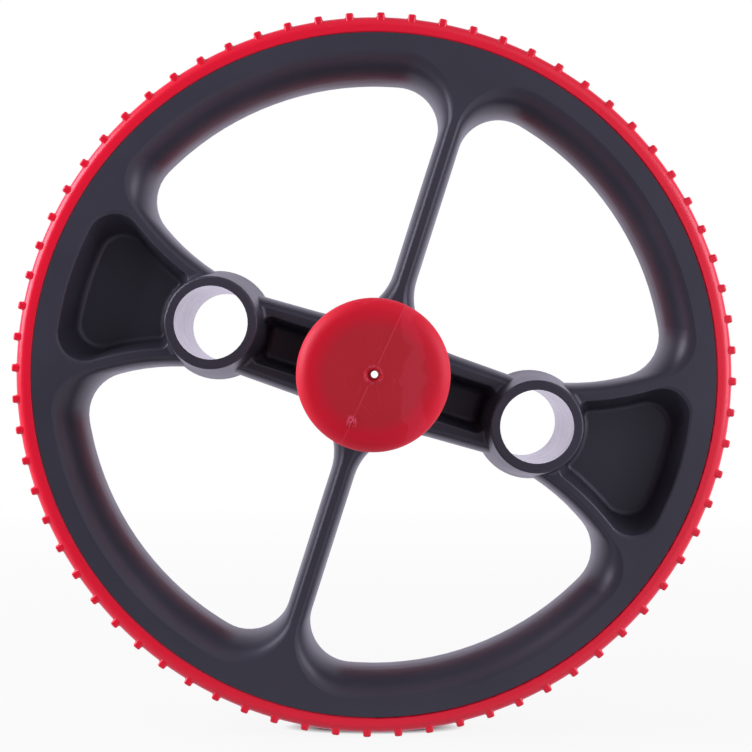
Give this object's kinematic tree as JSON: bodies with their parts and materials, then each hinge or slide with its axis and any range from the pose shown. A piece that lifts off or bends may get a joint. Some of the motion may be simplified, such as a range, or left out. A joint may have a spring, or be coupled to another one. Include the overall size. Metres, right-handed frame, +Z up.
{
  "type": "ab wheel roller",
  "caption": "Single-wheel ab roller: spoked plastic wheel with a cleated rubber tyre, free to spin on a hollow axle with a moulded hand grip on each end.",
  "frame": {"origin": "centre of the wheel, on the axle's axis at the middle of its length", "axes": "+Y along the axle to the rear grip, +Z up, +X to the right seen from the front grip; at rest the wheel is turned as in the picture, with its right-hand bore 17.7 degrees below +X"},
  "size_m": [0.2006, 0.2408, 0.2006],
  "materials": {
    "wheel_plastic": "satin moulded charcoal",
    "tyre_rubber": "semi-matt red",
    "steel": "drawn and zinc plated",
    "bush_plastic": "natural acetal",
    "washer_plastic": "black nylon",
    "spring_steel": "phosphated",
    "grip_rubber": "soft red, slightly glossy"
  },
  "bodies": {
    "handle": {"axle_tube": "steel", "retaining_ring_rear": "spring_steel", "retaining_ring_front": "spring_steel", "thrust_washer_rear": "washer_plastic", "thrust_washer_front": "washer_plastic", "grip_rear": "grip_rubber", "grip_front": "grip_rubber"},
    "wheel": {"wheel_body": "wheel_plastic", "tyre": "tyre_rubber", "hub_bush_rear": "bush_plastic", "hub_bush_front": "bush_plastic"}
  },
  "joints": [
    {"name": "wheel_spin", "type": "hinge", "parent": "handle", "child": "wheel", "pos_m": [0, 0, 0], "axis": [0, 1, 0], "continuous": true}
  ]
}
